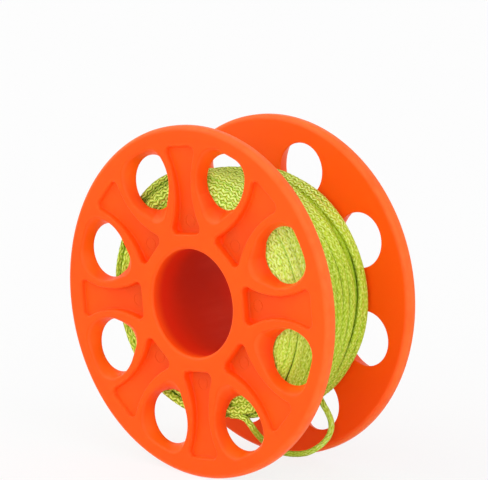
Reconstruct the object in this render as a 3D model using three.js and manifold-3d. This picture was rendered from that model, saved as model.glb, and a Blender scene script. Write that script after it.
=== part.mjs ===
// Finger spool with a braided diving line.
// Two moulded halves meet at the middle of the hub. The line fills the drum between the
// flanges, and one slack loop of it hangs out of the winding.
// Millimetres, +Z up. The spool's axis lies along +Y, and the origin is the centre of the bore.

import * as THREE from "three";
import { mergeVertices } from "three/addons/utils/BufferGeometryUtils.js";
import Module from "manifold-3d";

const wasm = await Module();
wasm.setup();
const { cos, sin, tan, sqrt, acos, atan2, hypot, PI } = Math;
const degree = PI / 180;

// Flanges, hub and bore
const flangeDiameter = 98;
const spoolWidth = 38; // over both flanges
const flangeThickness = 4.1;
const rimEdgeRadius = 1.6;
const hubDiameter = 36;
const hubWall = 3; // from the drum in to the bore
const hubFilletRadius = 1;
const boreLipRadius = 1.1;

// Spigot of the front half and socket of the rear half
const spigotWall = 1.2;
const spigotLength = 5;
const jointClearance = 0.3;
const keyWidth = 3;
const keyHeight = 0.7;

// Dished holes in the flange's outer face, as shares of its band from drum to rim
const holeCount = 8;
const holeShare = 0.497; // diameter of the round hole in the flange's inner face
const rimBandShare = 0.129; // from the rim to the dish
const holeSetInShare = 0.0484; // from the hole's edge to the dish's edge, towards the rim
const dishWidestOutShare = 0.045; // from the hole's centre out to where the dish is widest
const dishNoseBandShare = 0.187; // from the drum to the dish's nose
const dishNoseRadiusShare = 0.148;
const dishSideShare = 0.846; // of the radius at which the side would meet the nose unbroken
const dishCornerShare = 0.465; // of the side's radius
const dishLipRadius = 1;

// Pockets between the dishes, also as shares of the band where no length is given
const pocketDepth = 2;
const pocketWaistShare = 0.232;
const pocketHubBandShare = 0.02; // from the drum to the pocket
const pocketRimBandShare = 0.168; // from the rim to the pocket
const pocketSideRadiusShare = 0.775;
const pocketCornerRadiusShare = 0.071;
const pocketEdgeRadius = 0.35;
const pocketFloorRadius = 0.6;
const pocketDraft = 8 * degree;
const ribWidth = 1.2; // flat top of the rib between a dish and a pocket

// How far the spool has rolled about its axis from a pocket at the top
const rollAngle = -5.8 * degree;

// Braided line
const lineDiameter = 1.7;
const windingShare = 0.5355; // how much of the flange's band the winding fills
const turnGap = 0.45; // between the flat sides of neighbouring turns
const lastTurnShare = 0.88; // of a turn, after the whole ones
const turnEndShare = 0.049; // length of the straight ends, of the winding's radius
const firstTurnAngle = 166 * degree; // from +Z towards +X
const lineClearance = 0.33;
const tuckBendRadius = 3.4;

// How the winding has settled: how much thicker it lies than an even one, at its front and at
// its rear edge, as shares of its depth. One row for each step of a turn, from the first one.
const settledShares = [
  [-0.1, 0.043],
  [-0.125, 0.031],
  [-0.126, 0.019],
  [-0.113, 0.011],
  [-0.095, 0.007],
  [-0.079, 0.004],
  [-0.045, 0.001],
  [0.019, 0],
  [0.037, 0],
  [0.066, 0],
  [0.118, -0.002],
  [0.151, -0.007],
  [0.141, -0.013],
  [0.112, -0.02],
  [0.082, -0.032],
  [0.063, -0.019],
  [0.047, -0.004],
  [0.032, 0.01],
  [0.025, 0.038],
  [0.02, 0.064],
  [0.034, 0.061],
  [0.057, 0.034],
  [0.083, 0.037],
  [0.036, 0.044],
];

// Centre line of the slack loop, from the front edge of the winding, down, across to the
// rear flange and up into the rear edge of the winding. x and z are shares of the winding's
// radius, and y is a share of half the drum's width.
const looseRouteShares = [
  [0.2876, -0.9228, -0.8907],
  [0.3381, -0.9228, -0.8829],
  [0.3931, -0.9228, -0.88],
  [0.4451, -0.9228, -0.8902],
  [0.4855, -0.9195, -0.9176],
  [0.5159, -0.896, -0.9581],
  [0.5347, -0.8456, -1],
  [0.5419, -0.7617, -1.0404],
  [0.5448, -0.6376, -1.0896],
  [0.5491, -0.4765, -1.1402],
  [0.5578, -0.2752, -1.1907],
  [0.5708, -0.0537, -1.2283],
  [0.5881, 0.1745, -1.25],
  [0.6098, 0.3826, -1.2543],
  [0.6358, 0.5638, -1.2312],
  [0.6647, 0.7114, -1.1878],
  [0.685, 0.8054, -1.1329],
  [0.6893, 0.8658, -1.0665],
  [0.6676, 0.8926, -1.0029],
  [0.6272, 0.8993, -0.9451],
  [0.5824, 0.8993, -0.8902],
  [0.5477, 0.8993, -0.8439],
  [0.526, 0.8993, -0.8092],
];

// Facets
const rimFacets = 64;
const turnSteps = 24;
const turnSides = 6;
const looseSteps = 16;
const looseSides = 8;
const rimEdgeSteps = 3;
const lipSteps = 2;
const noseSteps = 3;
const sideSteps = 5;
const cornerSteps = 3;
const rimArcSteps = 2;
const hollowSteps = 6;
const tuckSteps = 4;
const overrun = 1; // how far a cutter reaches past the face that it cuts

const flangeRadius = flangeDiameter / 2;
const halfWidth = spoolWidth / 2;
const hubRadius = hubDiameter / 2;
const boreRadius = hubRadius - hubWall;
const flangeBand = flangeRadius - hubRadius;
const lineRadius = lineDiameter / 2;
const holePitchAngle = (2 * PI) / holeCount;
const flangeInnerY = halfWidth - flangeThickness;

const plastic = new THREE.MeshStandardMaterial({
  color: 0xff5a1e,
  roughness: 0.42,
  metalness: 0,
});
const braid = new THREE.MeshStandardMaterial({
  color: 0xb8cc34,
  roughness: 0.8,
  metalness: 0,
});

// Solids and meshes

function solid(geometry) {
  const bare = geometry.clone();
  bare.deleteAttribute("normal");
  bare.deleteAttribute("uv");
  const merged = mergeVertices(bare);
  return new wasm.Manifold(
    new wasm.Mesh({
      numProp: 3,
      vertProperties: merged.attributes.position.array,
      triVerts: new Uint32Array(merged.index.array),
    }),
  );
}

function mesh(name, body, material) {
  const { vertProperties, triVerts } = body.getMesh();
  const geometry = new THREE.BufferGeometry();
  geometry.setAttribute("position", new THREE.BufferAttribute(vertProperties, 3));
  geometry.setIndex(new THREE.BufferAttribute(triVerts, 1));
  geometry.computeVertexNormals();
  const made = new THREE.Mesh(geometry, material);
  made.name = name;
  return made;
}

function indexed(points, triangles) {
  const geometry = new THREE.BufferGeometry().setFromPoints(points);
  geometry.setIndex(triangles);
  return geometry;
}

// A profile turned about the axis. A facet, not an edge, lies under the spool, and the
// facets touch the true circle from outside.
function revolved(profile) {
  const facetAngle = (2 * PI) / rimFacets;
  const lathe = new THREE.LatheGeometry([...profile, profile[0]], rimFacets, facetAngle / 2);
  const outward = 1 / cos(facetAngle / 2);
  lathe.scale(outward, 1, outward);
  return solid(lathe);
}

function arc(x, y, radius, from, to, steps) {
  return new THREE.EllipseCurve(x, y, radius, radius, from, to, to < from).getPoints(steps);
}

// The other half of an outline that is symmetrical about its second axis
function mirrored(points) {
  return points.map((p) => new THREE.Vector2(-p.x, p.y)).reverse();
}

// A solid through outlines in x and z, each at its own y, in order of rising y
function loft(levels) {
  const count = levels[0].outline.length;
  const points = levels.flatMap(({ outline, y }) => outline.map((p) => new THREE.Vector3(p.x, y, p.y)));
  const triangles = [];
  for (let level = 0; level < levels.length - 1; level++) {
    for (let i = 0; i < count; i++) {
      const near = level * count;
      const next = (i + 1) % count;
      triangles.push(near + i, near + count + i, near + next);
      triangles.push(near + next, near + count + i, near + count + next);
    }
  }
  const last = (levels.length - 1) * count;
  for (const [a, b, c] of THREE.ShapeUtils.triangulateShape(levels[0].outline, [])) triangles.push(a, b, c);
  for (const [a, b, c] of THREE.ShapeUtils.triangulateShape(levels.at(-1).outline, [])) {
    triangles.push(last + c, last + b, last + a);
  }
  return indexed(points, triangles);
}

// Halves of the spool

const socketRadius = boreRadius + spigotWall + jointClearance;

// From the mouth of the bore round the rim to the drum, with the outer face at the lowest y
function flangeProfile() {
  const lip = boreRadius + boreLipRadius;
  const edge = flangeRadius - rimEdgeRadius;
  const fillet = hubRadius + hubFilletRadius;
  return [
    ...arc(lip, boreLipRadius - halfWidth, boreLipRadius, PI, 1.5 * PI, rimEdgeSteps),
    ...arc(edge, rimEdgeRadius - halfWidth, rimEdgeRadius, 1.5 * PI, 2 * PI, rimEdgeSteps),
    ...arc(edge, -flangeInnerY - rimEdgeRadius, rimEdgeRadius, 0, PI / 2, rimEdgeSteps),
    ...arc(fillet, hubFilletRadius - flangeInnerY, hubFilletRadius, 1.5 * PI, PI, lipSteps),
  ];
}

// The front half ends in a spigot that seats on the floor of the rear half's socket.
const frontProfile = [
  ...flangeProfile(),
  new THREE.Vector2(hubRadius, -jointClearance),
  new THREE.Vector2(boreRadius + spigotWall, -jointClearance),
  new THREE.Vector2(boreRadius + spigotWall, spigotLength),
  new THREE.Vector2(boreRadius, spigotLength),
];
const rearProfile = [
  ...flangeProfile(),
  new THREE.Vector2(hubRadius, 0),
  new THREE.Vector2(socketRadius, 0),
  new THREE.Vector2(socketRadius, -spigotLength),
  new THREE.Vector2(boreRadius, -spigotLength),
]
  .map((p) => new THREE.Vector2(p.x, -p.y))
  .reverse();

// A key on the spigot lines up the holes of the two flanges.
function keyBlock(width, top, from, to) {
  const block = new THREE.BoxGeometry(width, to - from, top - boreRadius - spigotWall / 2);
  block.translate(0, (from + to) / 2, (top + boreRadius + spigotWall / 2) / 2);
  return solid(block.rotateY(rollAngle));
}
const keyTop = boreRadius + spigotWall + keyHeight;
const key = keyBlock(keyWidth, keyTop, -jointClearance, spigotLength - jointClearance);
const keyway = keyBlock(keyWidth + 2 * jointClearance, keyTop + jointClearance, -overrun, spigotLength);

// A rounded edge, from a flat face into a wall
function roundedInto(radius, steps) {
  return Array.from({ length: steps + 1 }, (_, i) => {
    const turn = ((i / steps) * PI) / 2;
    return { inset: radius * sin(turn), depth: radius * (1 - cos(turn)) };
  });
}

// A dish's outline: an arc that follows the rim, rounded corners, two full sides that run
// straight into a rounded nose towards the hub
const holeRadius = (flangeBand * holeShare) / 2;
const pocketHalfWaist = (flangeBand * pocketWaistShare) / 2;
const dishRimRadius = flangeRadius - flangeBand * rimBandShare;
const holeCentre = dishRimRadius - flangeBand * holeSetInShare - holeRadius;
const dishWidest = holeCentre + flangeBand * dishWidestOutShare;
const dishHalfWidth = dishWidest * sin(holePitchAngle / 2) - pocketHalfWaist - ribWidth;
const dishNoseRadius = flangeBand * dishNoseRadiusShare;
const noseCentre = new THREE.Vector2(0, hubRadius + flangeBand * dishNoseBandShare + dishNoseRadius);
const dishSideRadius = dishSideShare * unbrokenSideRadius();
const dishCornerRadius = dishCornerShare * dishSideRadius;
const sideCentre = new THREE.Vector2(dishHalfWidth - dishSideRadius, dishWidest);

// Radius of a side that runs into the nose with no straight between them
function unbrokenSideRadius() {
  const apart = dishWidest - noseCentre.y;
  const wider = dishHalfWidth ** 2 - dishNoseRadius ** 2;
  return (apart ** 2 + wider) / (2 * (dishHalfWidth - dishNoseRadius));
}

// The corner's circle lies inside both the rim's arc and the side's circle.
function cornerCentre() {
  const reach = dishRimRadius - dishCornerRadius;
  const sideReach = dishSideRadius - dishCornerRadius;
  const far = sideCentre.length();
  const along = (reach ** 2 - sideReach ** 2 + far ** 2) / (2 * far);
  const across = sqrt(reach ** 2 - along ** 2);
  const way = sideCentre.clone().normalize();
  return new THREE.Vector2(way.x * along + way.y * across, way.y * along - way.x * across);
}
const corner = cornerCentre();

// Direction square to the straight side, which touches the nose and the side's circle
function straightSideNormal() {
  const apart = sideCentre.clone().sub(noseCentre);
  return apart.angle() - acos((dishNoseRadius - dishSideRadius) / apart.length());
}

function dishOutline(inset) {
  const side = straightSideNormal();
  const toCorner = atan2(corner.y - sideCentre.y, corner.x - sideCentre.x);
  const toRim = corner.angle();
  const right = [
    ...arc(noseCentre.x, noseCentre.y, dishNoseRadius - inset, -PI / 2, side, noseSteps),
    ...arc(sideCentre.x, sideCentre.y, dishSideRadius - inset, side, toCorner, sideSteps),
    ...arc(corner.x, corner.y, dishCornerRadius - inset, toCorner, toRim, cornerSteps).slice(1),
    ...arc(0, 0, dishRimRadius - inset, toRim, PI / 2, rimArcSteps).slice(1),
  ];
  return [...right, ...mirrored(right).slice(1, -1)];
}

// The dish's wall slants from its outline to the round hole in the flange's inner face.
function dishCutter() {
  const lip = roundedInto(dishLipRadius, lipSteps);
  const round = dishOutline(dishLipRadius).map((p) => {
    const out = hypot(p.x, p.y - holeCentre);
    return new THREE.Vector2((p.x * holeRadius) / out, holeCentre + ((p.y - holeCentre) * holeRadius) / out);
  });
  return loft([
    { outline: dishOutline(0), y: -halfWidth - overrun },
    ...lip.map(({ inset, depth }) => ({ outline: dishOutline(inset), y: depth - halfWidth })),
    { outline: round, y: -flangeInnerY },
    { outline: round, y: overrun - flangeInnerY },
  ]);
}

// A pocket's outline: straight ends towards hub and rim, rounded corners and hollow sides
const pocketSideRadius = flangeBand * pocketSideRadiusShare;
const pocketCornerRadius = flangeBand * pocketCornerRadiusShare;
const pocketInner = hubRadius + flangeBand * pocketHubBandShare;
const pocketOuter = flangeRadius - flangeBand * pocketRimBandShare;
const pocketMiddle = (pocketInner + pocketOuter) / 2;
const hollowCentre = pocketHalfWaist + pocketSideRadius;
const pocketCornerOut = pocketMiddle - pocketInner - pocketCornerRadius;
const cornerFromHollow = pocketSideRadius + pocketCornerRadius;
const pocketCornerX = hollowCentre - sqrt(cornerFromHollow ** 2 - pocketCornerOut ** 2);

function pocketOutline(inset) {
  const touch = atan2(pocketCornerOut, hollowCentre - pocketCornerX);
  const cornerRadius = pocketCornerRadius - inset;
  const sideRadius = pocketSideRadius + inset;
  const right = [
    ...arc(pocketCornerX, pocketMiddle - pocketCornerOut, cornerRadius, -PI / 2, touch, cornerSteps),
    ...arc(hollowCentre, pocketMiddle, sideRadius, PI + touch, PI - touch, hollowSteps).slice(1, -1),
    ...arc(pocketCornerX, pocketMiddle + pocketCornerOut, cornerRadius, -touch, PI / 2, cornerSteps),
  ];
  return [...right, ...mirrored(right)];
}

function pocketCutter() {
  const edge = roundedInto(pocketEdgeRadius, 1);
  const wallEnd = pocketDepth - pocketFloorRadius;
  const wallInset = pocketEdgeRadius + (wallEnd - pocketEdgeRadius) * tan(pocketDraft);
  return loft([
    { outline: pocketOutline(0), y: -halfWidth - overrun },
    ...edge.map(({ inset, depth }) => ({ outline: pocketOutline(inset), y: depth - halfWidth })),
    { outline: pocketOutline(wallInset), y: wallEnd - halfWidth },
    { outline: pocketOutline(wallInset + pocketFloorRadius), y: pocketDepth - halfWidth },
  ]);
}

// The pattern of dishes and pockets in the front flange; the rear flange has its mirror image
function patternCutters() {
  const dish = dishCutter();
  const pocket = pocketCutter();
  const cutters = [];
  for (let i = 0; i < holeCount; i++) {
    const turn = i * holePitchAngle + rollAngle;
    cutters.push(solid(pocket.clone().rotateY(turn)));
    cutters.push(solid(dish.clone().rotateY(turn + holePitchAngle / 2)));
  }
  return cutters;
}

function cutBy(body, cutters) {
  return cutters.reduce((rest, cutter) => rest.subtract(cutter), body);
}

const cutters = patternCutters();
const frontHalf = cutBy(revolved(frontProfile).add(key), cutters);
const rearHalf = cutBy(
  revolved(rearProfile).subtract(keyway),
  cutters.map((cutter) => cutter.mirror([0, 1, 0])),
);

// Line wound on the drum

const windingRadius = hubRadius + flangeBand * windingShare;
const turnRadius = windingRadius - lineRadius;
const turnEnd = windingRadius * turnEndShare;
const turnPitch = turnGap + lineDiameter * cos(PI / turnSides);
const firstTurnY = lineRadius + lineClearance - flangeInnerY;
const turnRoom = (-2 * firstTurnY) / turnPitch;
const turnCount = Math.floor(turnRoom - lastTurnShare) + lastTurnShare;
const lastTurnAngle = firstTurnAngle + turnCount * 2 * PI;
const lastTurnY = firstTurnY + turnCount * turnPitch;
const layersRadius = turnRadius * cos(PI / turnSteps) - lineRadius - lineClearance;

// Unit vectors at an angle from +Z towards +X: away from the axis, and along the turn
function outwardAt(angle) {
  return new THREE.Vector3(sin(angle), 0, cos(angle));
}
function alongAt(angle) {
  return new THREE.Vector3(cos(angle), 0, -sin(angle));
}

// Where the last turn tucks in: the middle of its bend
function tuckCentre() {
  return outwardAt(lastTurnAngle)
    .multiplyScalar(turnRadius - tuckBendRadius)
    .setY(lastTurnY);
}

// Moves a point of an even winding to where the settled one has it
function settle(point) {
  const [x, y, z] = point;
  const radius = hypot(x, z);
  const turned = (atan2(x, z) - firstTurnAngle) / (2 * PI) + 2;
  const place = (turned % 1) * turnSteps;
  const row = Math.floor(place);
  const across = (y / flangeInnerY + 1) / 2;
  const share = THREE.MathUtils.lerp(...settledShares[row], across);
  const nextShare = THREE.MathUtils.lerp(...settledShares[(row + 1) % turnSteps], across);
  const thicker = THREE.MathUtils.lerp(share, nextShare, place - row) * (radius - hubRadius);
  point[0] = (x * (radius + thicker)) / radius;
  point[2] = (z * (radius + thicker)) / radius;
}

// The layers below the outer turns, with a notch where the line's end is tucked in
function innerLayers() {
  const sideY = flangeInnerY - lineClearance;
  const inside = hubRadius + lineClearance;
  const relief = hubFilletRadius;
  const ring = revolved([
    new THREE.Vector2(inside, relief - sideY),
    new THREE.Vector2(inside + relief, -sideY),
    new THREE.Vector2(layersRadius, -sideY),
    new THREE.Vector2(layersRadius, sideY),
    new THREE.Vector2(inside + relief, sideY),
    new THREE.Vector2(inside, sideY - relief),
  ]);
  const reach = tuckBendRadius + lineRadius + lineClearance;
  const deep = tuckBendRadius + turnEnd + lineClearance;
  const notch = new THREE.BoxGeometry(reach, lineDiameter + 2 * lineClearance, deep);
  notch.translate(reach / 2, 0, tuckBendRadius - deep / 2);
  notch.rotateY(lastTurnAngle);
  const centre = tuckCentre();
  notch.translate(centre.x, centre.y, centre.z);
  return ring.subtract(solid(notch));
}

// Stations of the outer turns: a straight end, the helix, a bend inwards and a straight end
function turnStations() {
  const start = outwardAt(firstTurnAngle).multiplyScalar(turnRadius).setY(firstTurnY);
  const stations = [
    {
      centre: start.addScaledVector(alongAt(firstTurnAngle), -turnEnd),
      out: outwardAt(firstTurnAngle),
    },
  ];
  const steps = Math.round(turnCount * turnSteps);
  for (let i = 0; i <= steps; i++) {
    const out = outwardAt(firstTurnAngle + (i / steps) * (lastTurnAngle - firstTurnAngle));
    const centre = out.clone().multiplyScalar(turnRadius);
    stations.push({ centre: centre.setY(firstTurnY + (i / steps) * (lastTurnY - firstTurnY)), out });
  }
  const along = alongAt(lastTurnAngle);
  const outward = outwardAt(lastTurnAngle);
  for (let i = 1; i <= tuckSteps; i++) {
    const turn = ((i / tuckSteps) * PI) / 2;
    const out = outward.clone().multiplyScalar(cos(turn)).addScaledVector(along, sin(turn));
    stations.push({ centre: tuckCentre().addScaledVector(out, tuckBendRadius), out });
  }
  const bendEnd = stations.at(-1);
  stations.push({ centre: bendEnd.centre.clone().addScaledVector(outward, -turnEnd), out: bendEnd.out });
  return stations;
}

function turnRings() {
  const axis = new THREE.Vector3(0, 1, 0);
  return turnStations().map(({ centre, out }) =>
    Array.from({ length: turnSides }, (_, i) => {
      const turn = (i / turnSides) * 2 * PI;
      const corner = centre.clone().addScaledVector(out, lineRadius * cos(turn));
      return corner.addScaledVector(axis, -lineRadius * sin(turn));
    }),
  );
}

function tube(rings) {
  const sides = rings[0].length;
  const triangles = [];
  for (let ring = 0; ring < rings.length - 1; ring++) {
    for (let i = 0; i < sides; i++) {
      const near = ring * sides;
      const next = (i + 1) % sides;
      triangles.push(near + i, near + next, near + sides + next);
      triangles.push(near + i, near + sides + next, near + sides + i);
    }
  }
  const last = (rings.length - 1) * sides;
  for (let i = 1; i < sides - 1; i++) {
    triangles.push(0, i + 1, i);
    triangles.push(last, last + i, last + i + 1);
  }
  return indexed(rings.flat(), triangles);
}

// Least distance between corners of the tube that are at least half a turn apart along it
function leastGap(rings) {
  let least = Infinity;
  rings.forEach((ring, place) => {
    const apart = place + turnSteps / 2;
    const later = rings.slice(apart, apart + turnSteps).flat();
    for (const a of ring) for (const b of later) least = Math.min(least, a.distanceTo(b));
  });
  return least;
}

const rings = turnRings();
console.log("outer turns, least gap " + leastGap(rings).toFixed(2) + " mm");

// The slack loop of the same line
function looseLoop() {
  const size = new THREE.Vector3(windingRadius, flangeInnerY, windingRadius);
  const points = looseRouteShares.map((shares) => new THREE.Vector3(...shares).multiply(size));
  const route = new THREE.CatmullRomCurve3(points);
  const section = new THREE.Shape(arc(0, 0, lineRadius, 0, 2 * PI, looseSides).slice(0, -1));
  console.log("slack loop, length " + route.getLength().toFixed(1) + " mm");
  return new THREE.ExtrudeGeometry(section, { steps: looseSteps, extrudePath: route });
}

const spool = new THREE.Group();
spool.add(mesh("front_half", frontHalf, plastic));
spool.add(mesh("rear_half", rearHalf, plastic));
const line = new THREE.Group();
line.add(mesh("line_inner_layers", innerLayers().warp(settle), braid));
line.add(mesh("line_outer_turns", solid(tube(rings)).warp(settle), braid));
line.add(mesh("line_free_loop", solid(looseLoop()), braid));
spool.add(line);

export default spool;
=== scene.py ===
import math

import bmesh
import bpy
import numpy as np
from mathutils import Matrix


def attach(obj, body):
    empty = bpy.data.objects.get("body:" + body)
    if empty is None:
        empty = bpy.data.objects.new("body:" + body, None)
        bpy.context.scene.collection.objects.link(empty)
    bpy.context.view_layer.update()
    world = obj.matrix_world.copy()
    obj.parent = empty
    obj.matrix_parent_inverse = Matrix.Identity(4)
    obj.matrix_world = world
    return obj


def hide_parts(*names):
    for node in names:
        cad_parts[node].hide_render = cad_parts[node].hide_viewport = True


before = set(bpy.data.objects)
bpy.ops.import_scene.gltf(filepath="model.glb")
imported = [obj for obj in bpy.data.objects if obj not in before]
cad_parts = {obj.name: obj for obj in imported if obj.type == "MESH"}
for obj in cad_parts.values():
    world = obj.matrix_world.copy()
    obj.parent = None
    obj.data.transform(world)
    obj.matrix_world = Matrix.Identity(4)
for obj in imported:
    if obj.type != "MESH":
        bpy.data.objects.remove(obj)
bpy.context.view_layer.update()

# Camera of the photograph, a long lens a little above the spool's axis.
camera_data = bpy.data.cameras.new("photo_camera")
camera_data.sensor_width = 36
camera_data.lens = 164.82
camera_down = math.radians(10.1637)
camera_round = math.radians(42.1485)
camera = bpy.data.objects.new("photo_camera", camera_data)
camera.location = (0.41331, -0.45393, 0.12527)
camera.rotation_euler = (math.radians(90) - camera_down, 0, camera_round)
bpy.context.scene.collection.objects.link(camera)
bpy.context.scene.camera = camera
bpy.context.scene.view_settings.view_transform = "Standard"


# Slack loop: braided polyester line, 1.7 mm thick. It leaves the front edge of the winding,
# hangs below it, and goes back into the winding's rear edge.
class Wire:
    """A socket of a material's node tree, for sums written as Python expressions."""

    def __init__(self, tree, socket):
        self.tree = tree
        self.socket = socket

    def node(self, kind, settings=None, output=0, **values):
        """An output of a new node. Among the values i0 is the node's first input, and every
        other name is an input's own, with _ for a space."""
        made = self.tree.nodes.new("ShaderNode" + kind)
        for name, value in (settings or {}).items():
            setattr(made, name, value)
        for name, value in values.items():
            place = int(name[1:]) if name[1:].isdigit() else name.replace("_", " ")
            socket = made.inputs[place]
            if isinstance(value, Wire):
                self.tree.links.new(value.socket, socket)
            elif socket.type == "RGBA":
                socket.default_value = (*value, 1)
            else:
                socket.default_value = value
        return Wire(self.tree, made.outputs[output])

    def sum(self, operation, a, b=None):
        values = {"i0": a} if b is None else {"i0": a, "i1": b}
        return self.node("Math", {"operation": operation}, **values)

    def __add__(self, other):
        return self.sum("ADD", self, other)

    __radd__ = __add__

    def __sub__(self, other):
        return self.sum("SUBTRACT", self, other)

    def __rsub__(self, other):
        return self.sum("SUBTRACT", other, self)

    def __mul__(self, other):
        return self.sum("MULTIPLY", self, other)

    __rmul__ = __mul__

    def __truediv__(self, other):
        return self.sum("DIVIDE", self, other)

    def __pow__(self, other):
        return self.sum("POWER", self, other)

    def fraction(self):
        return self.sum("FRACT", self)

    def sine(self):
        return self.sum("SINE", self)

    def absolute(self):
        return self.sum("ABSOLUTE", self)

    def part(self, name):
        """Another output of the node that this socket belongs to."""
        return Wire(self.tree, self.socket.node.outputs[name])

    def most(self, other):
        return self.sum("MAXIMUM", self, other)

    def between(self, low, high):
        """Smoothly from 0, where this socket is low or less, to 1, where it is high or more."""
        smooth = {"interpolation_type": "SMOOTHSTEP"}
        return self.node("MapRange", smooth, i0=self, i1=low, i2=high)

    def mix(self, a, b):
        """From colour a, where this socket is 0, to colour b, where it is 1."""
        return self.node("Mix", {"data_type": "RGBA"}, 2, i0=self, i6=a, i7=b)


def new_material(name):
    """A material with its shader, and a wire that opens its node tree."""
    material = bpy.data.materials.new(name)
    material.use_nodes = True
    shader = material.node_tree.nodes["Principled BSDF"]
    return material, shader, Wire(material.node_tree, None)


def feed(shader, **wires):
    """Wires to the shader's inputs of those names."""
    for name, wire in wires.items():
        wire.tree.links.new(wire.socket, shader.inputs[name.replace("_", " ")])


line_width = 0.0017
braid_rows = 7
braid_wave = 0.0027
braid_sway = 0.7  # of a row's width
yarn_height = 0.00014
crown_power = 0.8
bend_power = 0.7
bend_low = 0.45
# The braid stands out at the top of the spool and less at the bottom, and is worn smooth on
# the right and on the slack loop. Heights, sides and distances from the axis are in metres.
crisp_height = (0.0, 0.022)
crisp_side = (0.015, 0.033)
crisp_low = 0.6
loop_from = (0.037, 0.0385)
crisp_loop = 0.4


def braid_relief(around, along):
    """How high the yarns stand, from 0 to 1, at a place round the line and along it."""
    wave = along / braid_wave
    sway = np.abs(2 * (wave % 1) - 1)
    crown = np.sin(np.pi * ((around * braid_rows + braid_sway * sway) % 1))
    bend = np.abs(np.sin(2 * np.pi * wave))
    return crown**crown_power * (bend_low + (1 - bend_low) * bend**bend_power)


def crispness(centres):
    """How clearly the braid stands out at places of the line, from 0 to 1."""
    x, _, z = centres.T
    crisp = np.interp(np.abs(z), crisp_height, [0, 1]) * np.where(z < 0, crisp_low, 1)
    crisp = crisp * np.interp(x, crisp_side, [1, 0])
    return crisp * np.interp(np.hypot(x, z), loop_from, [1, crisp_loop])


def spline_through(points, steps):
    """Points on a smooth curve through the given ones, evenly spaced along it."""
    fine_steps = 12
    points = np.asarray(points, float)
    ends = [2 * points[0] - points[1], *points, 2 * points[-1] - points[-2]]
    fine = []
    for a, b, c, d in zip(ends, ends[1:], ends[2:], ends[3:]):
        for t in np.linspace(0, 1, fine_steps, endpoint=False):
            bend = (2 * a - 5 * b + 4 * c - d) * t**2 + (3 * b - a - 3 * c + d) * t**3
            fine.append(b + ((c - a) * t + bend) / 2)
    fine = np.array([*fine, points[-1]])
    run = np.concatenate([[0], np.cumsum(np.linalg.norm(np.diff(fine, axis=0), axis=1))])
    places = np.linspace(0, run[-1], steps)
    return np.stack([np.interp(places, run, fine[:, i]) for i in range(3)], 1)


def unit(vectors):
    return vectors / np.linalg.norm(vectors, axis=-1, keepdims=True)


def tube_faces(count, sides):
    """Faces of a closed tube: its walls from ring to ring, then its two ends."""
    near = np.arange(count - 1)[:, None] * sides
    side = np.arange(sides)[None, :]
    after = (side + 1) % sides
    walls = np.stack([near + side, near + after, near + sides + after, near + sides + side], -1)
    ends = [list(range(sides))[::-1], list(range((count - 1) * sides, count * sides))]
    return walls.reshape(-1, 4).tolist() + ends


# The braid lies tighter on the right of the spool than on its left, and turns a little one
# way and the other along the line: how many turns, over what length, from what phase.
tighter_right = 0.2
twists = ((0.16, 0.0083, 0), (0.2, 0.031, 1))
even_relief = 0.6  # at which the line is as wide as it is meant to be
worn_relief = 0.3  # of the yarns' height, where the braid is worn smooth
end_width = 0.55  # of the last ring, which closes the line's end


def strand_mesh(name, centres, outward, width, thickness, sides, buried=0):
    """A braided tube along centres. Its cross-section is flat across the outward direction.
    Its thickness, and how deep it is buried under other turns, may change along it."""
    forward = unit(np.gradient(centres, axis=0))
    across = unit(np.cross(forward, outward))
    outward = np.cross(across, forward)
    count = len(centres)
    step = np.linalg.norm(np.diff(centres, axis=0), axis=1)
    along = np.concatenate([[0], np.cumsum(step)]) - tighter_right * centres[:, 2]
    around = np.arange(sides) / sides
    twist = sum(turns * np.sin(along / length + phase) for turns, length, phase in twists)
    relief = braid_relief(around[None, :] + twist[:, None], along[:, None])
    shown = worn_relief + (1 - worn_relief) * crispness(centres)[:, None]
    grow = 1 + (relief - even_relief) * shown * 2 * yarn_height / line_width
    grow[[0, -1]] *= end_width
    turn = 2 * np.pi * around[None, :]
    x = np.cos(turn) * grow * width / 2
    z = np.sin(turn) * grow * np.broadcast_to(thickness, count)[:, None] / 2
    rings = centres[:, None] + x[..., None] * across[:, None] + z[..., None] * outward[:, None]
    mesh = bpy.data.meshes.new(name)
    mesh.from_pydata(rings.reshape(-1, 3), [], tube_faces(count, sides))
    # The map runs once round the line, and along it in metres.
    side = np.arange(sides)[None, :]
    u = np.stack([side, side + 1, side + 1, side], -1) / sides
    near_twist, far_twist = twist[:-1, None], twist[1:, None]
    u = (u + np.stack([near_twist, near_twist, far_twist, far_twist], -1)).reshape(-1)
    v = np.stack([along[:-1], along[:-1], along[1:], along[1:]], -1)
    v = np.broadcast_to(v[:, None], (count - 1, sides, 4)).reshape(-1)
    first_end = np.stack([around[::-1], np.full(sides, along[0])], 1)
    last_end = np.stack([around, np.full(sides, along[-1])], 1)
    layer = mesh.uv_layers.new(name="strand")
    strand_map = np.concatenate([np.stack([u, v], 1), first_end, last_end])
    layer.uv.foreach_set("vector", strand_map.ravel())
    deep = mesh.attributes.new("buried", "FLOAT", "POINT")
    deep.data.foreach_set("value", np.repeat(np.broadcast_to(buried, count), sides))
    mesh.polygons.foreach_set("use_smooth", [True] * len(mesh.polygons))
    mesh.update()
    return mesh


def add_piece(name, mesh, material):
    piece = bpy.data.objects.new(name, mesh)
    bpy.context.scene.collection.objects.link(piece)
    mesh.materials.clear()
    mesh.materials.append(material)
    return piece


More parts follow.
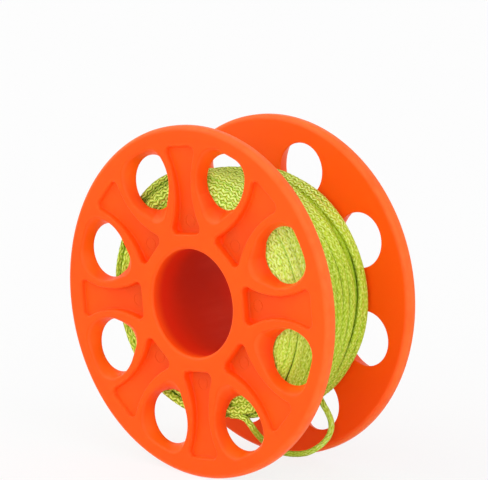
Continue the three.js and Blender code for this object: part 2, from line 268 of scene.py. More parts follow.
# Yarn colours: a painted highlight, pale yellow, where a yarn crowns, and painted shade, green,
# where two yarns meet. The rear end of the slack loop and the turns at the front edge's upper
# right are painted lit and palest, and buried turns and the rest of the loop get painted shade.
# The lit edge turns and the top ones also get a painted glow, a little light of their own.
crown_highlight = (0.76, 0.94, 0.19)
yarn_body = (0.46, 0.70, 0.025)
valley_shade = (0.17, 0.25, 0.003)
yarn_faded = (0.58, 0.76, 0.09)
buried_shade = (0.25, 0.35, 0.004)
lit_valley_shade = (0.25, 0.38, 0.003)
lit_buried_shade = (0.36, 0.53, 0.003)
lit_crown_highlight = (0.74, 1.0, 0.34)
lit_body = (0.60, 0.86, 0.07)
painted_edge_glow = (0.07, 0.06, 0.03)
painted_crisp_glow = (0.10, 0.13, 0.01)
painted_top_glow = (0.085, 0.06, 0.0)
no_glow = (0.0, 0.0, 0.0)
top_light_share = 0.7
faded_share = 0.3
buried_shade_share = 0.65
loop_shade_share = 0.55
# Where these turns begin and end, in metres from the spool's centre: x to the right, y to the
# rear, z upwards
edge_end_y = (-0.0125, -0.0045)
lit_edge_x = (-0.008, 0.005)
lit_edge_z = (-0.022, 0.012)
loop_rear_y = (0.0, 0.011)
lit_right_x = (0.002, 0.014)
top_z = (0.008, 0.026)
hairy_z = (-0.012, 0.012)
upper_z = (-0.001, 0.001)
# The relief in the material: the yarns, which stand out more where the braid is crisp, and
# loose fibres, which show more where it is worn. A valley turns into a yarn's body and the
# body into its crown over these heights.
body_height = (0.0, 0.55)
crown_height = (0.48, 0.9)
middle_relief = 0.55
middle_height = 0.57
worn_contrast = 0.33
crisp_contrast = 1.05
worn_hair = 1.3
crisp_hair_loss = 0.9
upper_hair = 0.5
fibre_stretch = 0.38  # below 1, so that a fibre is longer along the line than across it
fibre_scale = 2300.0
mottle_scale = 90.0
mottle_span = (0.35, 0.75)
bump_height = 0.0003
valley_rough, crown_smoother = 0.85, 0.15

braid, braid_shader, wire = new_material("braided_line")
around_map = wire.node("SeparateXYZ", i0=wire.node("UVMap", {"uv_map": "strand"}))
along_map = around_map.part("Y")
wave = along_map / braid_wave
sway = (wave.fraction() * 2 - 1).absolute()
crown = ((around_map * braid_rows + sway * braid_sway).fraction() * math.pi).sine()
bend = (wave * 2 * math.pi).sine().absolute()
relief = crown**crown_power * (bend**bend_power * (1 - bend_low) + bend_low)
place = wire.node("TexCoord", {}, "Object")
x = wire.node("SeparateXYZ", i0=place)
y, z = x.part("Y"), x.part("Z")
loose = ((x * x + z * z) ** 0.5).between(*loop_from)
crisp = z.absolute().between(*crisp_height) * (1 - x.between(*crisp_side))
crisp = crisp * (z.between(*upper_z) * (1 - crisp_low) + crisp_low)
crisp = crisp * (1 - loose * (1 - crisp_loop))
mottle = wire.node("TexNoise", Vector=place, Scale=mottle_scale, Detail=3.0)
fibres = wire.node(
    "CombineXYZ", X=around_map * math.pi * line_width, Y=along_map * fibre_stretch
)
fuzz = wire.node("TexNoise", Vector=fibres, Scale=fibre_scale, Detail=2.0)
yarns = (relief - middle_relief) * (crisp * crisp_contrast + worn_contrast) + middle_height
hair = z.between(*hairy_z) * upper_hair + worn_hair - crisp * crisp_hair_loss
height = yarns + (fuzz - 0.5) * hair
at_edge = 1 - y.between(*edge_end_y)
# Painted light: the turns at the front edge's upper right and the rear end of the loop are
# painted lit, paler.
lit_edge = at_edge * x.between(*lit_edge_x) * z.between(*lit_edge_z)
rear_end = y.between(*loop_rear_y)
# Between the flanges painted light makes the valleys on the right brighter, and the topmost
# turns paler.
lit_right = (1 - at_edge) * x.between(*lit_right_x) * (1 - loose)
top = lit_right * z.between(*top_z)
painted_light = lit_edge.most(loose * rear_end).most(top * top_light_share)
valley = lit_right.mix(valley_shade, lit_valley_shade)
# Painted shade in the valleys between yarns and a painted highlight on their crowns.
shade = height.between(*body_height).mix(valley, painted_light.mix(yarn_body, lit_body))
shade = height.between(*crown_height).mix(shade, painted_light.mix(crown_highlight, lit_crown_highlight))
shade = (mottle.between(*mottle_span) * faded_share).mix(shade, yarn_faded)
# Painted shade on the buried turns, and on the slack loop except at its rear end.
buried = wire.node("Attribute", {"attribute_name": "buried"}, "Fac")
buried_shade_colour = lit_right.mix(buried_shade, lit_buried_shade)
painted_shade = (buried * buried_shade_share).most(loose * (1 - rear_end) * loop_shade_share)
shade = painted_shade.mix(shade, buried_shade_colour)
# Painted glow: the lit edge turns, and the top turns on the right, give off a little light of
# their own.
painted_glow = lit_edge.mix(top.mix(no_glow, painted_top_glow), crisp.mix(painted_edge_glow, painted_crisp_glow))
braid_bump = wire.node("Bump", Strength=1.0, Distance=bump_height, Height=height)
feed(
    braid_shader,
    Base_Color=shade,
    Roughness=valley_rough - relief * crown_smoother,
    Normal=braid_bump,
    Emission_Color=painted_glow,
)
braid_shader.inputs["Emission Strength"].default_value = 1.0
braid_shader.inputs["Specular IOR Level"].default_value = 0.25

loop_route = [
    (0.00995, -0.01375, -0.03082),
    (0.0117, -0.01375, -0.03055),
    (0.0136, -0.01375, -0.03045),
    (0.0154, -0.01375, -0.0308),
    (0.0168, -0.0137, -0.03175),
    (0.01785, -0.01335, -0.03315),
    (0.0185, -0.0126, -0.0346),
    (0.01875, -0.01135, -0.036),
    (0.01885, -0.0095, -0.0377),
    (0.019, -0.0071, -0.03945),
    (0.0193, -0.0041, -0.0412),
    (0.01975, -0.0008, -0.0425),
    (0.02035, 0.0026, -0.04325),
    (0.0211, 0.0057, -0.0434),
    (0.022, 0.0084, -0.0426),
    (0.023, 0.0106, -0.0411),
    (0.0237, 0.012, -0.0392),
    (0.02385, 0.0129, -0.0369),
    (0.0231, 0.0133, -0.0347),
    (0.0217, 0.0134, -0.0327),
    (0.02015, 0.0134, -0.0308),
    (0.01895, 0.0134, -0.0292),
    (0.0182, 0.0134, -0.028),
]
loop_width = 0.00175
loop_thickness = 0.0016
loop_sides = 16
loop_rings = 190
loop_across = (0.55, 0.35, 0.75)  # along the wider side of its slightly flat section
loop_line = spline_through(loop_route, loop_rings)
loop_outward = unit(np.cross(np.gradient(loop_line, axis=0), loop_across))
loop = add_piece(
    "slack_loop",
    strand_mesh("slack_loop", loop_line, loop_outward, loop_width, loop_thickness, loop_sides),
    braid,
)
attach(loop, "root")
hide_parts("line_free_loop")


# Spool halves: each is one moulding of orange nylon, a flange with eight dished holes and
# eight pockets and half of the hub. The front half's spigot sits in the rear half's socket.
flange_radius = 0.049
half_width = 0.019
inner_face = 0.0149
bore_radius = 0.015
hub_radius = 0.018
hole_count = 8
roll = math.radians(-5.8)
quarter = math.pi / 2


def arc(x, y, radius, start, end, steps):
    """Points of an arc and the unit vectors that point away from its centre."""
    turn = np.linspace(start, end, steps + 1)
    away = np.stack([np.cos(turn), np.sin(turn)], 1)
    return np.array([x, y]) + radius * away, away


def join_arcs(arcs):
    """A closed outline and its outward directions, from the arcs of its right half in order."""
    touching, on_axis = 1e-7, 1e-9
    points, away = arcs[0]
    for more, more_away in arcs[1:]:
        touches = np.linalg.norm(more[0] - points[-1]) < touching
        points = np.concatenate([points, more[touches:]])
        away = np.concatenate([away, more_away[touches:]])
    flip = np.array([-1, 1])
    last = len(points) - (abs(points[-1][0]) < on_axis)
    first = int(abs(points[0][0]) < on_axis)
    points = np.concatenate([points, (points * flip)[first:last][::-1]])
    away = np.concatenate([away, (away * flip)[first:last][::-1]])
    return points, away


outline_steps = 8
lip_steps = 5
wall_steps = 8
hole_edge_steps = 3
hole_radius = 0.0077
hole_centre = 0.0358
dish_widest = 0.0372
dish_half_width = 0.00944
dish_side_radius = 0.01272
dish_corner_radius = 0.00591
dish_nose_radius = 0.00459
dish_nose_centre = 0.02839
dish_rim_radius = 0.045
dish_lip_radius = 0.0011
dish_first_slope = 0.5
hole_edge_radius = 0.0003
overrun = 0.001


def dish_outline():
    """A dish in the outer face: a nose towards the hub, full sides, and corners that run into
    an arc along the rim."""
    side = np.array([dish_half_width - dish_side_radius, dish_widest])
    nose = np.array([0, dish_nose_centre])
    reach = dish_rim_radius - dish_corner_radius
    side_reach = dish_side_radius - dish_corner_radius
    far = np.linalg.norm(side)
    along = (reach**2 - side_reach**2 + far**2) / (2 * far)
    across = math.sqrt(reach**2 - along**2)
    way = side / far
    corner = way * along + np.array([way[1], -way[0]]) * across
    apart = side - nose
    straight = math.atan2(apart[1], apart[0]) - math.acos(
        (dish_nose_radius - dish_side_radius) / np.linalg.norm(apart)
    )
    to_corner = math.atan2(corner[1] - side[1], corner[0] - side[0])
    to_rim = math.atan2(corner[1], corner[0])
    return join_arcs(
        [
            arc(*nose, dish_nose_radius, -quarter, straight, outline_steps),
            arc(*side, dish_side_radius, straight, to_corner, 2 * outline_steps),
            arc(*corner, dish_corner_radius, to_corner, to_rim, outline_steps),
            arc(0, 0, dish_rim_radius, to_rim, quarter, outline_steps),
        ]
    )


def dish_cutter():
    """Rings from above the flange's outer face down to the round hole in its inner face. The
    wall starts gently below the lip and grows steeper towards the hole."""
    outline, away = dish_outline()
    depth = half_width - inner_face
    level = np.zeros(len(outline))
    from_hole = outline - [0, hole_centre]
    hole = [0, hole_centre] + hole_radius * unit(from_hole)
    steep = np.arctan2(dish_first_slope * depth, np.linalg.norm(hole - outline, axis=1))
    set_in = dish_lip_radius * np.tan(steep / 2)
    start = np.column_stack([outline, level])
    corner = np.column_stack([outline - away * set_in[:, None], level])
    run = np.column_stack([hole, level]) - corner
    into = unit(run + [0, 0, dish_first_slope * depth])
    end = corner + into * set_in[:, None]
    rings = [np.column_stack([outline, level - overrun])]
    for t in np.linspace(0, 1, lip_steps + 1):
        rings.append((1 - t) ** 2 * start + 2 * t * (1 - t) * corner + t**2 * end)
    begun = set_in * np.cos(steep) / np.linalg.norm(run, axis=1)
    for turn in np.linspace(0, quarter, wall_steps + 1)[1:-1]:
        share = (begun + (1 - begun) * math.sin(turn))[:, None]
        sunk = dish_first_slope * share + (1 - dish_first_slope) * (1 - np.sqrt(1 - share**2))
        rings.append(corner + run * share + [0, 0, depth] * sunk)
    floor = np.column_stack([hole, level + depth])
    edge = np.column_stack([unit(hole - [0, hole_centre]), level])
    for turn in np.linspace(0, quarter, hole_edge_steps + 1):
        back = hole_edge_radius * (1 - math.sin(turn))
        rings.append(floor + edge * hole_edge_radius * (1 - math.cos(turn)) - [0, 0, back])
    rings.append(rings[-1] + [0, 0, overrun])
    return np.array(rings)


pocket_inner = 0.01862
pocket_outer = 0.04379
pocket_half_waist = 0.0036
pocket_side_radius = 0.024
pocket_corner_radius = 0.0022
pocket_depth = 0.002
pocket_draft = math.radians(8)
pocket_slope = 0.7  # how much deeper it is at the hub than at the rim, of its depth
pocket_edge_radius = 0.0005
pocket_floor_radius = 0.0004


def pocket_outline():
    """A pocket in the outer face: straight ends, rounded corners and hollow sides."""
    middle = (pocket_inner + pocket_outer) / 2
    hollow = pocket_half_waist + pocket_side_radius
    out = middle - pocket_inner - pocket_corner_radius
    corner = hollow - math.sqrt((pocket_side_radius + pocket_corner_radius) ** 2 - out**2)
    touch = math.atan2(out, hollow - corner)
    side, side_away = arc(
        hollow, middle, pocket_side_radius, math.pi + touch, math.pi - touch, 2 * outline_steps
    )
    return join_arcs(
        [
            arc(corner, middle - out, pocket_corner_radius, -quarter, touch, outline_steps),
            (side, -side_away),
            arc(corner, middle + out, pocket_corner_radius, -touch, quarter, outline_steps),
        ]
    )


def pocket_floor(radius):
    """Depth of the pockets' floor, which rises from the hub to the rim."""
    along = (radius - pocket_inner) / (pocket_outer - pocket_inner)
    return pocket_depth * (1 + pocket_slope * (0.5 - along))


def pocket_cutter():
    """Rings from above the flange's outer face over the pocket's edge and down its drafted
    wall to its floor."""
    outline, away = pocket_outline()
    edge, floor = pocket_edge_radius, pocket_floor_radius
    levels = [(0, -overrun)]
    for turn in np.linspace(0, quarter, lip_steps + 1):
        levels.append((edge * math.sin(turn), edge * (1 - math.cos(turn))))
    wall = edge + (pocket_depth - floor - edge) * math.tan(pocket_draft)
    for turn in np.linspace(0, quarter, lip_steps + 1):
        levels.append(
            (wall + floor * (1 - math.cos(turn)), pocket_depth - floor * (1 - math.sin(turn)))
        )
    rings = []
    for inset, deep in levels:
        ring = outline - away * inset
        share = pocket_floor(ring[:, 1]) / pocket_depth if deep > 0 else np.ones(len(ring))
        rings.append(np.column_stack([ring, deep * share]))
    return np.array(rings)


ejector_centre = 0.0226
ejector_radius = 0.0018
ejector_groove = 0.00022
ejector_depth = 0.00008
ejector_sides = 32


def ejector_ring():
    """The ring that an ejector pin left in a pocket's floor, near the hub."""
    turn = np.arange(ejector_sides) / ejector_sides * 2 * np.pi
    rings = []
    for radius, sunk in (
        (ejector_radius, -overrun),
        (ejector_radius, ejector_depth),
        (ejector_radius - ejector_groove, ejector_depth),
        (ejector_radius - ejector_groove, -overrun),
    ):
        x = radius * np.sin(turn)
        z = ejector_centre + radius * np.cos(turn)
        rings.append(np.column_stack([x, z, pocket_floor(z) + sunk]))
    corners, sides = len(rings), len(turn)
    faces = []
    for k in range(corners):
        near, far = k * sides, (k + 1) % corners * sides
        for i in range(sides):
            after = (i + 1) % sides
            faces.append((near + i, near + after, far + after, far + i))
    return np.concatenate(rings), faces


def pattern_mesh(placed):
    """A pattern of each placed body round the front flange, as one mesh."""
    points, faces = [], []
    for (body, body_faces), offset in placed:
        for i in range(hole_count):
            turn = i * 2 * math.pi / hole_count + offset + roll
            x = body[:, 0] * math.cos(turn) + body[:, 1] * math.sin(turn)
            z = body[:, 1] * math.cos(turn) - body[:, 0] * math.sin(turn)
            start = sum(len(p) for p in points)
            points.append(np.column_stack([x, body[:, 2] - half_width, z]))
            faces += [tuple(v + start for v in face) for face in body_faces]
    mesh = bpy.data.meshes.new("pattern")
    mesh.from_pydata(np.concatenate(points), [], faces)
    return mesh


rim_edge_radius = 0.0016
bore_lip_radius = 0.0011
hub_fillet = 0.001
spigot_radius = 0.0162
socket_radius = 0.0165
spigot_length = 0.005
joint_gap = 0.0003
rim_segments = 240
rim_steps = 8
fillet_steps = 5


def flange_profile():
    """From the mouth of the bore round the rim to the hub, as radius and y. Each rounded
    corner has its centre's radius, the face that it starts from, its own radius (negative
    where its centre is in front of that face), its first and last quarter, and its steps."""
    rounded = (
        (bore_radius + bore_lip_radius, -half_width, bore_lip_radius, 2, 3, rim_steps),
        (flange_radius - rim_edge_radius, -half_width, rim_edge_radius, 3, 4, rim_steps),
        (flange_radius - rim_edge_radius, -inner_face, -rim_edge_radius, 0, 1, rim_steps),
        (hub_radius + hub_fillet, -inner_face, hub_fillet, 3, 2, fillet_steps),
    )
    profile = []
    for x, face, radius, start, end, steps in rounded:
        points = arc(x, face + radius, abs(radius), start * quarter, end * quarter, steps)[0]
        profile += list(points)
    return profile


front_profile = flange_profile() + [
    (hub_radius, -joint_gap),
    (spigot_radius, -joint_gap),
    (spigot_radius, spigot_length),
    (bore_radius, spigot_length),
]
rear_profile = flange_profile() + [
    (hub_radius, 0),
    (socket_radius, 0),
    (socket_radius, -spigot_length),
    (bore_radius, -spigot_length),
]


def turn_faces_out(mesh):
    work = bmesh.new()
    work.from_mesh(mesh)
    bmesh.ops.recalc_face_normals(work, faces=work.faces)
    work.to_mesh(mesh)
    work.free()


def turned_mesh(name, profile):
    """A closed profile of (radius, y) points turned about the spool's axis."""
    profile = np.array(profile, float)
    turn = np.arange(rim_segments) / rim_segments * 2 * np.pi
    x = profile[:, 0][None, :] * np.sin(turn)[:, None]
    z = profile[:, 0][None, :] * np.cos(turn)[:, None]
    y = np.broadcast_to(profile[:, 1], x.shape)
    count = len(profile)
    faces = []
    for a in range(rim_segments):
        b = (a + 1) % rim_segments
        for i in range(count):
            j = (i + 1) % count
            faces.append((a * count + i, a * count + j, b * count + j, b * count + i))
    mesh = bpy.data.meshes.new(name)
    mesh.from_pydata(np.stack([x, y, z], -1).reshape(-1, 3), [], faces)
    turn_faces_out(mesh)
    return mesh


def cut_half(name, profile):
    """A half turned with its outer face to the front, less its pockets, dishes and rings."""
    bodies = []
    for rings in (pocket_cutter(), dish_cutter()):
        bodies.append((rings.reshape(-1, 3), tube_faces(*rings.shape[:2])))
    pockets, dishes = bodies
    blank = bpy.data.objects.new(name + "_blank", turned_mesh(name, profile))
    made = [blank]
    between = math.pi / hole_count
    for placed in ([(pockets, 0), (dishes, between)], [(ejector_ring(), 0)]):
        cutter = bpy.data.objects.new(name + "_cutter", pattern_mesh(placed))
        turn_faces_out(cutter.data)
        made.append(cutter)
        cut = blank.modifiers.new("cut", "BOOLEAN")
        cut.operation = "DIFFERENCE"
        cut.solver = "MANIFOLD"
        cut.object = cutter
    for each in made:
        bpy.context.scene.collection.objects.link(each)
    mesh = bpy.data.meshes.new_from_object(
        blank.evaluated_get(bpy.context.evaluated_depsgraph_get())
    )
    mesh.name = name
    for each in made:
        bpy.data.objects.remove(each)
    return mesh


crease_angle = math.radians(32)
flat_face_weight = 80


def finish_half(name, mesh, material):
    """Shades a half smooth with creases where its faces meet sharply."""
    mesh.polygons.foreach_set("use_smooth", [True] * len(mesh.polygons))
    mesh.set_sharp_from_angle(angle=crease_angle)
    piece = add_piece(name, mesh, material)
    even = piece.modifiers.new("normals", "WEIGHTED_NORMAL")
    even.keep_sharp = True
    even.weight = flat_face_weight
    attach(piece, "root")
    return piece


# Colours of the moulding. A faint red glow is painted over all of it: painted light.
orange_deep = (0.97, 0.088, 0.002)
orange_bright = (1.0, 0.100, 0.003)
orange_streak = (0.96, 0.080, 0.002)
rear_shaded = (1.0, 0.078, 0.002)
rear_lit = (1.0, 0.106, 0.003)
bore_shade_dark = (0.46, 0.005, 0.0002)
bore_shade_light = (0.56, 0.013, 0.002)
bore_mouth_shade = (0.70, 0.011, 0.0002)
bore_sheen = (0.66, 0.045, 0.022)
shade_orange = (0.84, 0.050, 0.002)
lit_wall_orange = (1.0, 0.130, 0.004)
floor_shade_orange = (0.66, 0.078, 0.006)
highlight_orange = (1.0, 0.185, 0.038)
painted_red_glow = (0.06, 0.003, 0.0, 1.0)
# Patterns of the pigment, of the plastic's flow in the mould and of the mould's fine grain
cloud_scale = 26.0
flow_scale = 140.0
grain_scale = 1500.0
cloud_span = (0.3, 0.7)
bore_cloud_span = (0.4, 0.65)
flow_span = (0.45, 0.8)
flow_share = 0.25
# Where the changes in colour begin and end, in metres: the rear half's painted light and shade
rear_y = (0.0, 0.003)
rear_share = 0.9
rear_shade_z = (-0.04, 0.01)
# In the bore, and where a painted sheen lies on it
bore_share = 0.92
sheen_y = (-0.007, 0.008)
sheen_z = (0.002, 0.010)
sheen_share = 0.8
streak_scale = 150.0
streak_across, streak_along = 3, 0.4
streak_span = (0.3, 0.7)
between_streaks = 0.4
# Distances from the axis
bore_wall = (0.0152, 0.0158)
beyond_bore = (0.0160, 0.0170)
dish_span = (0.029, 0.042)
pocket_hub_end = (0.021, 0.037)
rim_edge = (0.0472, 0.0488)
# Distances from the middle of the spool, towards either outer face
bore_deep = (0.0060, 0.0150)
bore_lip = (0.0143, 0.0188)
dish_foot = (0.0150, 0.0153)
sunk_from = (0.0151, 0.0156)
sunk_to = (0.0158, 0.0182)
floor_level = (0.0160, 0.0181)
wall_top = (0.0176, 0.0188)
lip_from = (0.0179, 0.0185)
lip_to = (0.0187, 0.01895)
# How strongly each of these colours shows
sunk_at_hub, sunk_less_at_rim = 0.7, 0.6
wall_share = 0.7
floor_share = 0.75
lip_share = 0.45
highlight_span = (0.3, 0.7)
highlight_least, highlight_more = 0.45, 0.3
# The pockets' floors lie where this wave round the axis is at its full.
pocket_wave = (-0.1, 0.3)
# How rough the plastic is, and how much rougher in the flow's marks, the clouds and the bore
plain_rough = 0.38
flow_rougher, cloud_rougher, bore_rougher = 0.08, 0.06, 0.2
rough_span = (0.2, 0.8)
grain_height = 0.0002
grain_share = 0.4

moulded, moulded_shader, wire = new_material("orange_moulding")
place = wire.node("TexCoord", {}, "Object")
x = wire.node("SeparateXYZ", i0=place)
y, z = x.part("Y"), x.part("Z")
from_axis = (x * x + z * z) ** 0.5
deep = y.absolute()
cloud = wire.node("TexNoise", Vector=place, Scale=cloud_scale, Detail=4.0)
flow = wire.node("TexNoise", Vector=place, Scale=flow_scale, Detail=3.0, Distortion=1.2)
grain = wire.node("TexNoise", Vector=place, Scale=grain_scale, Detail=2.0)
orange = cloud.between(*cloud_span).mix(orange_deep, orange_bright)
orange = (flow.between(*flow_span) * flow_share).mix(orange, orange_streak)
# Painted light makes the rear half paler, and painted shade makes it redder low down.
rear_light_and_shade = z.between(*rear_shade_z).mix(rear_shaded, rear_lit)
orange = (y.between(*rear_y) * rear_share).mix(orange, rear_light_and_shade)
# The bore's wall is painted a deeper red as shade, less deep towards its mouths. A painted
# sheen makes it paler in places, in streaks along the bore.
in_bore = (1 - from_axis.between(*bore_wall)) * (1 - deep.between(*bore_lip))
bore_shade = cloud.between(*bore_cloud_span).mix(bore_shade_dark, bore_shade_light)
bore_shade = deep.between(*bore_deep).mix(bore_shade, bore_mouth_shade)
stretched = wire.node(
    "CombineXYZ", X=x * streak_across, Y=y * streak_along, Z=z * streak_across
)
streaks = wire.node("TexNoise", Vector=stretched, Scale=streak_scale, Detail=3.0)
# Painted sheen: paler streaks on the bore's wall.
sheen_mask = z.absolute().between(*sheen_z) * y.between(*sheen_y)
sheen_mask = sheen_mask * (streaks.between(*streak_span) * (1 - between_streaks) + between_streaks)
bore_shade = (sheen_mask * sheen_share).mix(bore_shade, bore_sheen)
orange = (in_bore * bore_share).mix(orange, bore_shade)
# Painted shade makes the plastic deeper in colour down in the pockets and on the hub's side of
# the dishes, and painted light makes it paler on the rim's side of the dishes.
to_rim = from_axis.between(*dish_span)
in_face = from_axis.between(*beyond_bore)
sunk = deep.between(*sunk_from) * (1 - deep.between(*sunk_to)) * in_face
orange = (sunk * (sunk_at_hub - to_rim * sunk_less_at_rim)).mix(orange, shade_orange)
angle = wire.node("Math", {"operation": "ARCTAN2"}, i0=x, i1=z)
pocket_turn = angle * hole_count + (quarter - hole_count * roll)
in_pocket = pocket_turn.sine().between(*pocket_wave)
# Painted light: paler walls on the rim's side of the dishes.
lit_wall = to_rim * (1 - deep.between(*wall_top)) * (1 - in_pocket)
lit_wall = lit_wall * deep.between(*dish_foot)
orange = (lit_wall * wall_share).mix(orange, lit_wall_orange)
# Painted shade makes the pockets' floors duller near the hub.
hub_shade = (1 - deep.between(*floor_level)) * (1 - from_axis.between(*pocket_hub_end)) * in_pocket
orange = (hub_shade * in_face * floor_share).mix(orange, floor_shade_orange)
# Painted highlights make the rims and the lips of the dishes, pockets and bore paler.
lips = deep.between(*lip_from) * (1 - deep.between(*lip_to)) * lip_share
painted_highlight = from_axis.between(*rim_edge).most(lips)
painted_highlight = painted_highlight * (flow.between(*highlight_span) * highlight_more + highlight_least)
orange = painted_highlight.mix(orange, highlight_orange)
texture = grain * grain_share + flow * (1 - grain_share)
moulded_bump = wire.node("Bump", Strength=0.12, Distance=grain_height, Height=texture)
rough = flow.between(*rough_span) * flow_rougher + plain_rough
rough = rough + cloud * cloud_rougher + in_bore * bore_rougher
feed(moulded_shader, Base_Color=orange, Roughness=rough, Normal=moulded_bump)
moulded_shader.inputs["IOR"].default_value = 1.45
# Painted glow: a faint red light of its own over the whole moulding.
moulded_shader.inputs["Emission Color"].default_value = painted_red_glow
moulded_shader.inputs["Emission Strength"].default_value = 1.0
moulded_shader.inputs["Subsurface Weight"].default_value = 0.3
moulded_shader.inputs["Subsurface Radius"].default_value = (1.0, 0.3, 0.1)
moulded_shader.inputs["Subsurface Scale"].default_value = 0.0015
moulded_shader.inputs["Specular IOR Level"].default_value = 0.16

front = finish_half("spool_half_front", cut_half("spool_half_front", front_profile), moulded)
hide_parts("front_half")

rear_mesh = cut_half("spool_half_rear", rear_profile)
rear_mesh.transform(Matrix.Scale(-1, 4, (0, 1, 0)))
rear_mesh.flip_normals()
rear = finish_half("spool_half_rear", rear_mesh, moulded)
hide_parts("rear_half")


# Winding: about 27 m of the same line, laid back and forth between the flanges. The turns
# have settled thicker at the upper left of the front edge and the lower right of the rear
# edge, and the last layer has parted on the right, where the layer below shows.
winding_radius = 0.0346
layer_step = 0.0014
strand_width = 0.00235
strand_thickness = 0.0016
pressed_thickness = 0.0008
pressed_y = (0.0128, 0.0134)
buried_y = (0.0118, 0.0128)
flange_clearance = 0.00005
millimetre = 0.001
# Angle from +Z towards +X in degrees, and how much thicker than even the winding is, in mm
thicker_front = [(0, 1.9), (17, 1.3), (62, 0.5), (95, 0.3), (120, 0.9), (135, 1.4), (146, 1.5),
                 (152, 0.5), (158, -0.8), (165, -1.8), (180, -2.1), (200, -2.1), (225, -1.6),
                 (252, -1.1), (265, 0.0), (279, 0.75), (290, 0.5), (305, 1.3), (320, 2.2),
                 (332, 2.6), (345, 2.4)]
thicker_rear = [(0, -0.3), (20, -0.5), (35, 0.2), (60, 0.5), (90, 1.4), (105, 1.3), (120, 0.5),
                (135, 0.6), (160, 0.8), (205, 0.2), (260, 0.0), (310, 0.0), (345, -0.2)]
# Angle, and the middle and half the width of the gap in the last layer there, in mm
gap_middle = [(0, 8.6), (20, 7.9), (33, 7.6), (42, 7.6), (48, 8.5), (56, 9.2), (64, 9.8),
              (75, 10.4), (84, 10.0), (94, 9.3), (104, 8.6), (113, 8.4), (130, 9.0), (160, 9.7),
              (340, 9.7)]
gap_half_width = [(340, 0.0), (0, 0.5), (25, 1.1), (45, 1.3), (65, 1.3), (78, 1.0), (88, 0.6),
                  (110, 0.35), (130, 0.15), (145, 0.0)]
table_step = 2  # degrees between the rows of a smoothed table
smooth_rows = 9


def round_table(table, degrees):
    """Smooth values between the rows of a table that closes after a full turn."""
    angle, value = np.array(table, float).T
    even = np.arange(0, 360, table_step)
    level = np.interp(even, angle, value, period=360)
    weights = np.hanning(smooth_rows + 2)[1:-1]
    reach = smooth_rows // 2
    ring = np.concatenate([level[-reach:], level, level[:reach]])
    level = np.convolve(ring, weights / weights.sum(), "valid")
    return np.interp(np.asarray(degrees) % 360, even, level, period=360)


def settled(radius, degrees, y):
    """Where a turn of an even winding lies once the winding has settled."""
    across = np.clip((y + inner_face) / (2 * inner_face), 0, 1)
    thicker = round_table(thicker_front, degrees) * (1 - across)
    thicker = (thicker + round_table(thicker_rear, degrees) * across) * millimetre
    return radius + thicker * (radius - hub_radius) / (winding_radius - hub_radius)


edge_y = inner_face - strand_width / 2 - flange_clearance
outer_turns = 10.947
turns_before_gap = 9.2
crossing = 0.5  # of a turn before and after, in which the line crosses the gap


def parted(run, degrees):
    """Where the turns of the last layer lie, on both sides of its gap."""
    middle = round_table(gap_middle, degrees) * millimetre
    half = round_table(gap_half_width, degrees) * millimetre + strand_width / 2
    front = -edge_y + (middle - half + edge_y) * run / (turns_before_gap - crossing)
    beyond = (run - turns_before_gap - crossing) / (outer_turns - turns_before_gap - crossing)
    rear = middle + half + (edge_y - middle - half) * beyond
    share = np.clip((run - turns_before_gap + crossing) / (2 * crossing), 0, 1)
    share = share**2 * (3 - 2 * share)
    return front * (1 - share) + rear * share


# A turn wanders sideways and up and down by sums of waves: their number, the height of each
# and how fast they run, in waves per radian.
wander_waves = 6
wander_size = 0.00009
wander_rate = 0.61
lift_size = 0.00006
lift_rate = 0.47


def lay_turns(name, radius, first_angle, turns, across, sides, step, seed, buried=0):
    """A braided tube in turns round the drum, as the winding has settled them. The function
    across gives each turn's y from its number and angle."""
    draw = np.random.default_rng(seed)
    count = int(turns * 2 * math.pi * radius / step)
    run = np.linspace(0, turns, count)
    angle = math.radians(first_angle) + run * 2 * math.pi
    degrees = np.degrees(angle) % 360
    wander = np.zeros(count)
    lift = np.zeros(count)
    for wave in range(1, wander_waves + 1):
        shift, other = draw.uniform(0, 2 * math.pi, 2)
        wander += wander_size * np.sin(angle * wave * wander_rate + shift)
        lift += lift_size * np.sin(angle * wave * lift_rate + other)
    y = np.clip(across(run, degrees) + wander, -edge_y, edge_y)
    # Against a flange the turns are pressed into the layer below.
    pressed = np.interp(np.abs(y), pressed_y, (0, pressed_thickness))
    level = settled(radius, degrees, y) + lift - pressed / 2
    outward = np.stack([np.sin(angle), np.zeros(count), np.cos(angle)], 1)
    points = outward * level[:, None]
    points[:, 1] = y
    inner = np.interp(np.abs(y), buried_y, (1, 0)) * buried
    thick = strand_thickness + pressed
    return strand_mesh(name, points, outward, strand_width, thick, sides, inner)


outer_radius = winding_radius - strand_thickness / 2
outer = add_piece(
    "winding_outer",
    lay_turns("winding_outer", outer_radius, first_angle=166, turns=outer_turns,
              across=parted, sides=18, step=0.00045, seed=3),
    braid,
)
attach(outer, "root")
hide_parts("line_outer_turns")

# The layer below runs back the other way, and gets painted shade except at its edges.
second_turns = 11.4
second = add_piece(
    "winding_second",
    lay_turns("winding_second", outer_radius - layer_step, first_angle=40, turns=second_turns,
              across=lambda run, degrees: edge_y * (1 - 2 * run / second_turns),
              sides=14, step=0.0005, seed=4, buried=1),
    braid,
)
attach(second, "root")

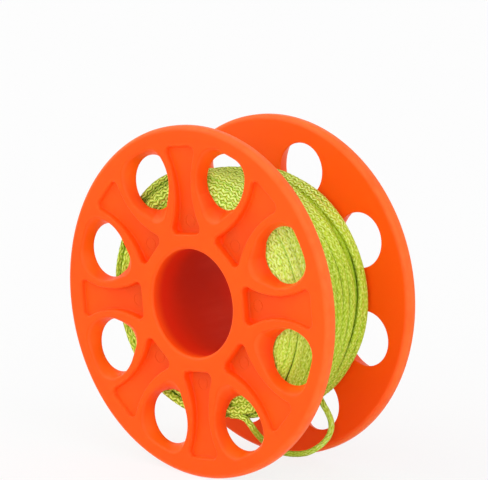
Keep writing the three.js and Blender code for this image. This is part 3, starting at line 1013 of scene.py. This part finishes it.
# Core of the winding: the layers further down as one turned body of the same line. Their
# turns show only as ridges in the gaps of the layers above.
core_depth = 1.55  # layers under the last one
core_radius = outer_radius - core_depth * layer_step
core_edge = 0.0139
core_ridges = 13
ridge_steps = 8
ridge_height = 0.0004
hub_clearance = 0.0003
core_y = np.linspace(-core_edge, core_edge, core_ridges * ridge_steps + 1)
ridge = np.abs(np.cos(np.pi * core_ridges * (core_y / core_edge + 1) / 2))
core_profile = [
    (hub_radius + hub_clearance, -core_edge),
    *zip(core_radius - ridge_height * ridge, core_y),
    (hub_radius + hub_clearance, core_edge),
]
core_mesh = turned_mesh("winding_core", core_profile)
for vertex in core_mesh.vertices:
    x, y, z = vertex.co
    radius = math.hypot(x, z)
    grow = float(settled(radius, math.degrees(math.atan2(x, z)), y)) / radius
    vertex.co = (x * grow, y, z * grow)
core = add_piece("winding_core", core_mesh, braid)
core.data.polygons.foreach_set("use_smooth", [True] * len(core.data.polygons))
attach(core, "root")
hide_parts("line_inner_layers")

# Edge turns of the lower layers, seen through the holes of both flanges: a turn of the same
# braid in each layer, laid against the flange's inner face.
edge_turn_y = 0.01365
edge_turn_drift = 0.0005
edge_layers = range(2, 6)
for side_name, sign in (("front", -1), ("rear", 1)):
    work = bmesh.new()
    for layer in edge_layers:
        work.from_mesh(
            lay_turns("edge_turn", outer_radius - layer * layer_step,
                      first_angle=50 + 77 * layer, turns=1.1,
                      across=lambda run, degrees: sign * (edge_turn_y - edge_turn_drift * run),
                      sides=12, step=0.0004, seed=10 + layer)
        )
    edge_mesh = bpy.data.meshes.new("winding_edge_" + side_name)
    work.to_mesh(edge_mesh)
    work.free()
    edge = add_piece("winding_edge_" + side_name, edge_mesh, braid)
    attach(edge, "root")


# Floor: a sheet of white paper, on which both rims stand. Where the camera or a reflection
# sees it, it is paler than its light makes it.
floor_reach = 6
paper_white = (0.95, 0.95, 0.95)
paper_shade = (0.93, 0.93, 0.93)
paper_scale = 3.0
white = (1.0, 1.0, 1.0)
seen_white = 0.82
floor_mesh = bpy.data.meshes.new("floor")
corners = [(-1, -1), (1, -1), (1, 1), (-1, 1)]
floor_mesh.from_pydata(
    [(floor_reach * x, floor_reach * y, 0) for x, y in corners], [], [(0, 1, 2, 3)]
)
floor = bpy.data.objects.new("floor", floor_mesh)
floor.location.z = -flange_radius
bpy.context.scene.collection.objects.link(floor)
paper, paper_shader, wire = new_material("white_paper")
place = wire.node("TexCoord", {}, "Object")
paper_grain = wire.node("TexNoise", Vector=place, Scale=paper_scale)
feed(paper_shader, Base_Color=paper_grain.mix(paper_shade, paper_white))
paper_shader.inputs["Roughness"].default_value = 1.0
paper_shader.inputs["Specular IOR Level"].default_value = 0.0
ray = wire.node("LightPath")
seen = ray.most(ray.part("Is Glossy Ray")).most(ray.part("Is Transmission Ray"))
lit = Wire(wire.tree, paper_shader.outputs[0])
pale = wire.node("Emission", Color=white, Strength=1.0)
paper_mix = wire.node("MixShader", i0=seen * seen_white, i1=lit, i2=pale)
wire.tree.links.new(paper_mix.socket, wire.tree.nodes["Material Output"].inputs["Surface"])
floor_mesh.materials.append(paper)

# Studio light: a pale surround and three broad lamps, from the upper left, from low beside
# the camera and from the right.
surround_strength = 0.6
lamp_spread = 60
world = bpy.data.worlds.new("studio")
bpy.context.scene.world = world
world.use_nodes = True
surround = Wire(world.node_tree, None)
ray = surround.node("LightPath")
seen = ray.most(ray.part("Is Glossy Ray")).most(ray.part("Is Transmission Ray"))
light = surround.node("Background", Color=white, Strength=surround_strength)
backdrop = surround.node("Background", Color=white, Strength=1.0)
both = surround.node("MixShader", i0=seen, i1=light, i2=backdrop)
world.node_tree.links.new(both.socket, world.node_tree.nodes["World Output"].inputs["Surface"])


def lamp(name, azimuth, elevation, strength):
    """A broad lamp far away, at angles in degrees: azimuth from -Y towards +X."""
    data = bpy.data.lights.new(name, "SUN")
    data.energy = strength
    data.angle = math.radians(lamp_spread)
    made = bpy.data.objects.new(name, data)
    made.rotation_euler = (math.radians(90 - elevation), 0, math.radians(azimuth))
    bpy.context.scene.collection.objects.link(made)


lamp("left", azimuth=-48, elevation=35, strength=1.0)
lamp("front", azimuth=15, elevation=12, strength=0.85)
lamp("right", azimuth=75, elevation=25, strength=0.8)
